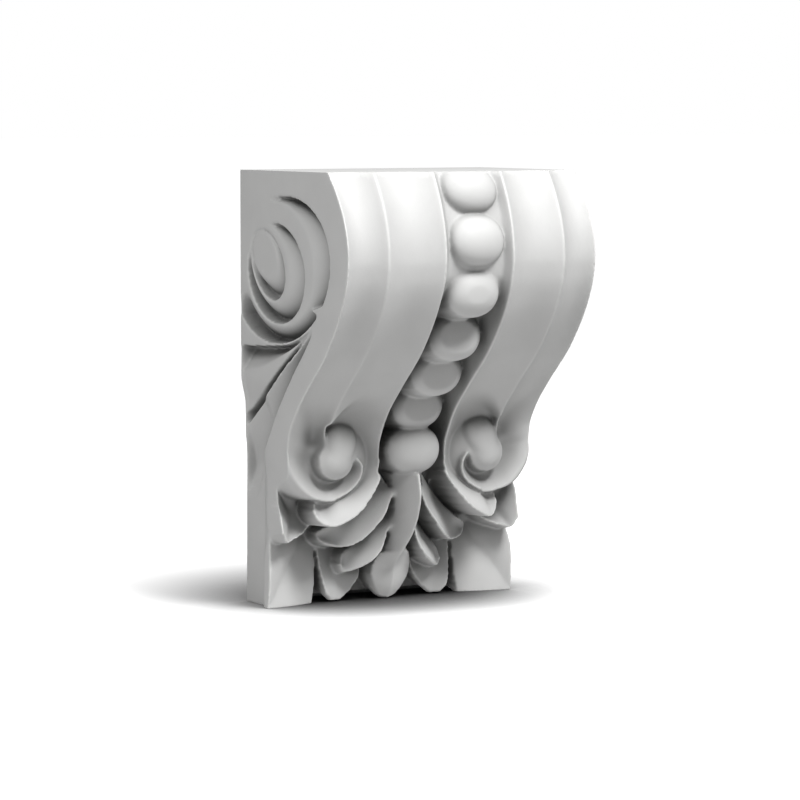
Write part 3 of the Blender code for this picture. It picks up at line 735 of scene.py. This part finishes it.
meshValues = {  # millimetres unless said
    "gridStep": 0.8,  # spacing of the carved sheets
    "quickStep": 1.3,
    "cutSpare": 1,  # stands past the back and the top until they are cut
    "softPasses": 1,  # rounding of the arrises, each pass about one grid step
    "weld": 0.05,
    "voxel": 0.8,  # size of the even mesh laid over them
    "smoothPasses": 4,
    "smoothShare": 0.5,
    "triangles": 190000,
    "sharpFrom": 50,  # degrees
}


# six sheets that share their edges: front, two sides, back, foot and top
def corbelSheets(values):
    step = values["gridStep"] * 1
    spare = values["cutSpare"]
    rows = int(round(fullHeight / step))
    columns = int(round(2 * halfWidth / step))
    deepRows = int(round(corbelSizes["sideBelly"] / step))
    ups = np.linspace(0, fullHeight + spare, rows + 1)
    across = np.linspace(-1, 1, columns + 1)
    half = frontHalf(ups)
    out = across[None, :] * half[:, None]
    up = np.broadcast_to(ups[:, None], out.shape)
    forward = soften(frontForward(np.abs(out), up), values["softPasses"])
    arch = corbelSizes["footArch"] * ease(*corbelSizes["archEnds"], np.abs(across))

    def lifted(depth, height):
        lift = arch[None, :] * ease(*corbelSizes["archBack"], depth)
        return lift + height * (1 - lift / fullHeight)

    front = np.stack((out, -forward, lifted(forward, up)), axis=-1)
    shares = np.linspace(0, 1, deepRows + 1)
    edgeForward = forward[:, -1]
    back = -spare + shares[None, :] * (edgeForward[:, None] + spare)
    sideUp = np.broadcast_to(ups[:, None], back.shape)
    outs = soften(sideOut(back, sideUp, edgeForward[:, None]), values["softPasses"])
    outs[:, -1] = half

    sheets = [front]
    sheets += [np.stack((sign * outs, -back, sideUp), axis=-1) for sign in (-1, 1)]
    behind = np.full(out.shape, -spare)
    sheets.append(np.stack((across[None, :] * outs[:, :1], -behind, lifted(behind, up)), axis=-1))
    for row in (0, -1):
        capOut = across[None, :] * outs[row][:, None]
        capBack = -spare + shares[:, None] * (forward[row][None, :] + spare)
        capUp = lifted(capBack, np.full(capBack.shape, ups[row]))
        sheets.append(np.stack((capOut, -capBack, capUp), axis=-1))
    for points in sheets:
        points[..., 2] -= fullHeight / 2
    return sheets


def triangleCount(piece):
    return sum(len(face.vertices) - 2 for face in piece.data.polygons)


# the whole casting: the sheets closed, laid over with an even mesh, worn a little and cut flat
def makeCorbel(values):
    made = [carvedSheet(points) for points in corbelSheets(values)]
    print("sheets carved")

    bpy.ops.object.select_all(action="DESELECT")
    for sheet in made:
        sheet.select_set(True)
    bpy.context.view_layer.objects.active = made[0]
    bpy.ops.object.join()
    piece = bpy.context.object
    piece.name = "castCorbel"
    bpy.ops.object.mode_set(mode="EDIT")
    bpy.ops.mesh.select_all(action="SELECT")
    bpy.ops.mesh.remove_doubles(threshold=values["weld"] / 1000)
    bpy.ops.mesh.normals_make_consistent(inside=False)
    bpy.ops.object.mode_set(mode="OBJECT")

    even = piece.modifiers.new("even mesh", "REMESH")
    even.mode = "VOXEL"
    even.voxel_size = values["voxel"] / 1000
    bpy.ops.object.modifier_apply(modifier="even mesh")
    worn = piece.modifiers.new("worn arrises", "SMOOTH")
    worn.iterations = values["smoothPasses"]
    worn.factor = values["smoothShare"]
    bpy.ops.object.modifier_apply(modifier="worn arrises")
    print("even mesh:", len(piece.data.polygons), "faces")

    # sawn flat where it meets the wall and the shelf
    for point, normal in (((0, 0, 0), (0, 1, 0)), ((0, 0, fullHeight / 2000), (0, 0, 1))):
        bpy.ops.object.mode_set(mode="EDIT")
        bpy.ops.mesh.select_all(action="SELECT")
        bpy.ops.mesh.bisect(plane_co=point, plane_no=normal, use_fill=True, clear_outer=True)
        bpy.ops.object.mode_set(mode="OBJECT")
    thin = piece.modifiers.new("fewer faces", "DECIMATE")
    thin.ratio = min(1.0, values["triangles"] / triangleCount(piece))
    bpy.ops.object.modifier_apply(modifier="fewer faces")
    bpy.ops.object.shade_smooth_by_angle(angle=math.radians(values["sharpFrom"]))
    print("corbel:", triangleCount(piece), "triangles")
    return piece


corbelPiece = makeCorbel(meshValues)


# sRGB hex to linear
def linear(code):
    parts = [int(code[i:i + 2], 16) / 255 for i in (1, 3, 5)]
    return tuple(p / 12.92 if p <= 0.04045 else ((p + 0.055) / 1.055) ** 2.4 for p in parts) + (1,)


# adds a node with its settings and links
def addNode(tree, kind, settings=None, values=None, links=None):
    node = tree.nodes.new(kind)
    for key, value in (settings or {}).items():
        setattr(node, key, value)
    for key, value in (values or {}).items():
        node.inputs[key].default_value = value
    for key, source in (links or {}).items():
        tree.links.new(source, node.inputs[key])
    return node


plasterLook = {
    "base": "#cfcfce",
    "shade": "#c6c6c5",
    "hollow": "#686867",  # painted shade: the grey that darkens the hollows, where the corbel shades itself
    "paintedShadeReach": 32,  # millimetres
    "paintedShadeFull": 0.3,  # how much of the sky a hollow sees where the painted shade is full
    "paintedShadeNone": 0.95,  # and where there is none
    "paintedShadeSamples": 12,
    "paintedHighlight": "#e4e4e2",  # painted highlight on the carved arrises, paler than the painted shade
    "paintedHighlightFrom": 0.512,  # how sharp an arris has to be, 0.5 being flat
    "paintedHighlightTo": 0.575,
    "cutFrom": 0.98,  # how square a face stands to the back or the level before it counts as cut flat
    "cutTo": 0.995,
    "roughness": 0.62,
    "smoother": 0.05,  # how far the roughness goes down and up in the clouds
    "rougher": 0.08,
    "ior": 1.5,
    "cloud": 22,  # millimetres across a soft cloud of tone
    "cloudDetail": 3,
    "grain": 1.1,  # millimetres, drawn coarser than the real set grain of about 0.1
    "grainDetail": 4,
    "grainHeight": 0.05,  # millimetres
    "grainStrength": 0.35,
    "pit": 7.0,  # millimetres between the small air bubbles of the casting
    "pitFrom": 0.03,  # a bubble's floor and rim, as shares of that
    "pitTo": 0.07,
    "pitHeight": 0.12,  # millimetres
    "pitStrength": 0.5,
}


# cast gypsum plaster, brushed with a matt white seal: dull, chalky, with the faintest clouds and pinholes,
# with painted shade in its hollows and painted highlights on its carved arrises
def castPlaster(look):
    material = bpy.data.materials.new("sealedCastPlaster")
    material.use_nodes = True
    tree = material.node_tree
    shader = tree.nodes["Principled BSDF"]
    place = addNode(tree, "ShaderNodeTexCoord").outputs["Object"]
    clouds = addNode(
        tree, "ShaderNodeTexNoise", values={"Scale": 1000 / look["cloud"], "Detail": look["cloudDetail"]},
        links={"Vector": place})
    tone = addNode(
        tree, "ShaderNodeMix", {"data_type": "RGBA"}, {6: linear(look["shade"]), 7: linear(look["base"])},
        {0: clouds.outputs["Fac"]})
    # painted shade: the colour is darkened in the hollows, where little sky is seen
    skySeen = addNode(
        tree, "ShaderNodeAmbientOcclusion", {"samples": look["paintedShadeSamples"], "only_local": True},
        {"Distance": look["paintedShadeReach"] / 1000})
    shadeFree = addNode(
        tree, "ShaderNodeMapRange", {"clamp": True},
        {"From Min": look["paintedShadeFull"], "From Max": look["paintedShadeNone"]}, {"Value": skySeen.outputs["AO"]})
    withPaintedShade = addNode(
        tree, "ShaderNodeMix", {"data_type": "RGBA"}, {6: linear(look["hollow"])},
        {0: shadeFree.outputs["Result"], 7: tone.outputs[2]})
    # painted highlight: the carved arrises are painted pale, never the flat back, top and foot
    form = addNode(tree, "ShaderNodeNewGeometry")
    arris = addNode(
        tree, "ShaderNodeMapRange", {"clamp": True},
        {"From Min": look["paintedHighlightFrom"], "From Max": look["paintedHighlightTo"]}, {"Value": form.outputs["Pointiness"]})
    facing = addNode(tree, "ShaderNodeSeparateXYZ", links={"Vector": form.outputs["True Normal"]})
    level = addNode(tree, "ShaderNodeMath", {"operation": "ABSOLUTE"}, links={0: facing.outputs["Z"]})
    square = addNode(
        tree, "ShaderNodeMath", {"operation": "MAXIMUM"},
        links={0: level.outputs["Value"], 1: facing.outputs["Y"]})
    carved = addNode(
        tree, "ShaderNodeMapRange", {"clamp": True},
        {"From Min": look["cutFrom"], "From Max": look["cutTo"], "To Min": 1.0, "To Max": 0.0},
        {"Value": square.outputs["Value"]})
    proud = addNode(
        tree, "ShaderNodeMath", {"operation": "MULTIPLY"},
        links={0: arris.outputs["Result"], 1: carved.outputs["Result"]})
    withPaintedHighlight = addNode(
        tree, "ShaderNodeMix", {"data_type": "RGBA"}, {7: linear(look["paintedHighlight"])},
        {0: proud.outputs["Value"], 6: withPaintedShade.outputs[2]})
    tree.links.new(withPaintedHighlight.outputs[2], shader.inputs["Base Color"])
    # a little shinier and duller in clouds
    least, most = look["roughness"] - look["smoother"], look["roughness"] + look["rougher"]
    dusty = addNode(
        tree, "ShaderNodeMapRange", values={"To Min": least, "To Max": most},
        links={"Value": clouds.outputs["Fac"]})
    tree.links.new(dusty.outputs["Result"], shader.inputs["Roughness"])
    # fine grain with small pinholes
    grain = addNode(
        tree, "ShaderNodeTexNoise", values={"Scale": 1000 / look["grain"], "Detail": look["grainDetail"]},
        links={"Vector": place})
    bubbles = addNode(
        tree, "ShaderNodeTexVoronoi", values={"Scale": 1000 / look["pit"]}, links={"Vector": place})
    pinholes = addNode(
        tree, "ShaderNodeMapRange", {"clamp": True},
        {"From Min": look["pitFrom"], "From Max": look["pitTo"], "To Min": 0.0, "To Max": 1.0},
        {"Value": bubbles.outputs["Distance"]})
    grained = addNode(
        tree, "ShaderNodeBump",
        values={"Strength": look["grainStrength"], "Distance": look["grainHeight"] / 1000},
        links={"Height": grain.outputs["Fac"]})
    pitted = addNode(
        tree, "ShaderNodeBump",
        values={"Strength": look["pitStrength"], "Distance": look["pitHeight"] / 1000},
        links={"Height": pinholes.outputs["Result"], "Normal": grained.outputs["Normal"]})
    tree.links.new(pitted.outputs["Normal"], shader.inputs["Normal"])
    shader.inputs["Metallic"].default_value = 0
    shader.inputs["IOR"].default_value = look["ior"]
    return material


corbelPiece.data.materials.clear()
corbelPiece.data.materials.append(castPlaster(plasterLook))
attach(corbelPiece, "root")
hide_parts("corbel")
print("plaster laid on")


studio = {
    "floorSize": 60,  # metres
    "floorColour": "#f4f4f4",
    "floorRoughness": 0.9,
    "floorGlow": 1.0,  # lifts the floor to plain white away from the corbel
    "shadowReach": (0.06, 0.24),  # metres from the corbel over which the glow comes in
    "contactReach": 0.1,  # painted shadow: metres over which the floor is painted darker close to the corbel
    "paintedShadowDepth": 2.5,  # power of that darkening
    "paintedShadowSamples": 12,
    "floorBounce": 0.55,  # how much of its light the floor sends back up
    "airSeen": 1.0,
    "airLight": 0.02,
    "lampAway": 1.8,  # metres from the corbel's middle
    "middleForward": 0.07,  # metres from the wall to that middle
    "lamps": (  # degrees round from the front, degrees up, watts, size
        ("keyLamp", 17, 53, 39, 0.55),
        ("leftLamp", -68, 50, 14, 0.8),
        ("lowLamp", -75, 12, 3.5, 0.8),
    ),
}


# plain white floor that darkens by the corbel, in its real shadow and in a painted shadow, and is white
# further off
def makeFloor(values):
    bpy.ops.object.select_all(action="DESELECT")
    bpy.ops.mesh.primitive_plane_add(size=values["floorSize"], location=(0, 0, -fullHeight / 2000))
    floor = bpy.context.object
    floor.name = "studioFloor"
    white = bpy.data.materials.new("paintedFloor")
    white.use_nodes = True
    tree = white.node_tree
    shader = tree.nodes["Principled BSDF"]
    seen = addNode(tree, "ShaderNodeLightPath").outputs["Is Camera Ray"]
    # painted shadow: the floor's colour is darkened where the corbel hides its sky
    contact = addNode(
        tree, "ShaderNodeAmbientOcclusion", {"samples": values["paintedShadowSamples"]},
        {"Distance": values["contactReach"]})
    deeper = addNode(
        tree, "ShaderNodeMath", {"operation": "POWER"}, {1: values["paintedShadowDepth"]},
        {0: contact.outputs["AO"]})
    withPaintedShadow = addNode(
        tree, "ShaderNodeMix", {"data_type": "RGBA"}, {6: (0, 0, 0, 1), 7: linear(values["floorColour"])},
        {0: deeper.outputs["Value"]})
    paint = addNode(
        tree, "ShaderNodeMix", {"data_type": "RGBA"},
        {6: (values["floorBounce"],) * 3 + (1,)}, {0: seen, 7: withPaintedShadow.outputs[2]})
    tree.links.new(paint.outputs[2], shader.inputs["Base Color"])
    place = addNode(tree, "ShaderNodeTexCoord").outputs["Object"]
    away = addNode(tree, "ShaderNodeVectorMath", {"operation": "LENGTH"}, links={0: place})
    near, far = values["shadowReach"]
    fade = addNode(
        tree, "ShaderNodeMapRange", {"interpolation_type": "SMOOTHSTEP"},
        {"From Min": near, "From Max": far, "To Min": 0.0, "To Max": values["floorGlow"]},
        {"Value": away.outputs["Value"]})
    glow = addNode(
        tree, "ShaderNodeMath", {"operation": "MULTIPLY"}, links={0: fade.outputs["Result"], 1: seen})
    tree.links.new(glow.outputs[0], shader.inputs["Emission Strength"])
    shader.inputs["Roughness"].default_value = values["floorRoughness"]
    shader.inputs["Emission Color"].default_value = (1, 1, 1, 1)
    floor.data.materials.append(white)


# white air behind, which lights hardly anything
def makeAir(values):
    world = bpy.data.worlds.new("studioAir")
    bpy.context.scene.world = world
    world.use_nodes = True
    tree = world.node_tree
    air = tree.nodes["Background"]
    air.inputs["Color"].default_value = (1, 1, 1, 1)
    seen = addNode(tree, "ShaderNodeLightPath")
    strength = addNode(
        tree, "ShaderNodeMapRange", {"clamp": True},
        {"To Min": values["airLight"], "To Max": values["airSeen"]}, {"Value": seen.outputs["Is Camera Ray"]})
    tree.links.new(strength.outputs["Result"], air.inputs["Strength"])


# a soft key from above the front, and two weaker soft lamps from the left
def makeLamps(values):
    for name, turn, up, power, size in values["lamps"]:
        turn, up = math.radians(turn), math.radians(up)
        toLamp = Vector((math.sin(turn) * math.cos(up), -math.cos(turn) * math.cos(up), math.sin(up)))
        lamp = bpy.data.lights.new(name, "AREA")
        lamp.size = size
        lamp.energy = power
        holder = bpy.data.objects.new(name, lamp)
        bpy.context.collection.objects.link(holder)
        holder.location = toLamp * values["lampAway"] + Vector((0, -values["middleForward"], 0))
        holder.rotation_euler = (-toLamp).to_track_quat("-Z", "Y").to_euler()


makeFloor(studio)
makeAir(studio)
makeLamps(studio)


view = {
    "turn": 30,  # degrees round to the left of the front
    "tilt": 4.83,  # degrees down
    "lens": 157.5,
    "sensor": 36,
    "place": (-1.2085, -2.1461, 0.1948),
}


# camera where the photograph was taken from
def makeCamera(values):
    turn, tilt = math.radians(values["turn"]), math.radians(values["tilt"])
    ahead = Vector((math.sin(turn) * math.cos(tilt), math.cos(turn) * math.cos(tilt), -math.sin(tilt)))
    right = Vector((math.cos(turn), -math.sin(turn), 0))
    upward = right.cross(ahead)
    data = bpy.data.cameras.new("photoCamera")
    data.lens = values["lens"]
    data.sensor_width = values["sensor"]
    camera = bpy.data.objects.new("photoCamera", data)
    bpy.context.collection.objects.link(camera)
    axes = Matrix((right, upward, -ahead)).transposed().to_4x4()
    camera.matrix_world = Matrix.Translation(values["place"]) @ axes
    bpy.context.scene.camera = camera


makeCamera(view)
bpy.context.scene.view_settings.view_transform = "Standard"
print("studio and camera set")
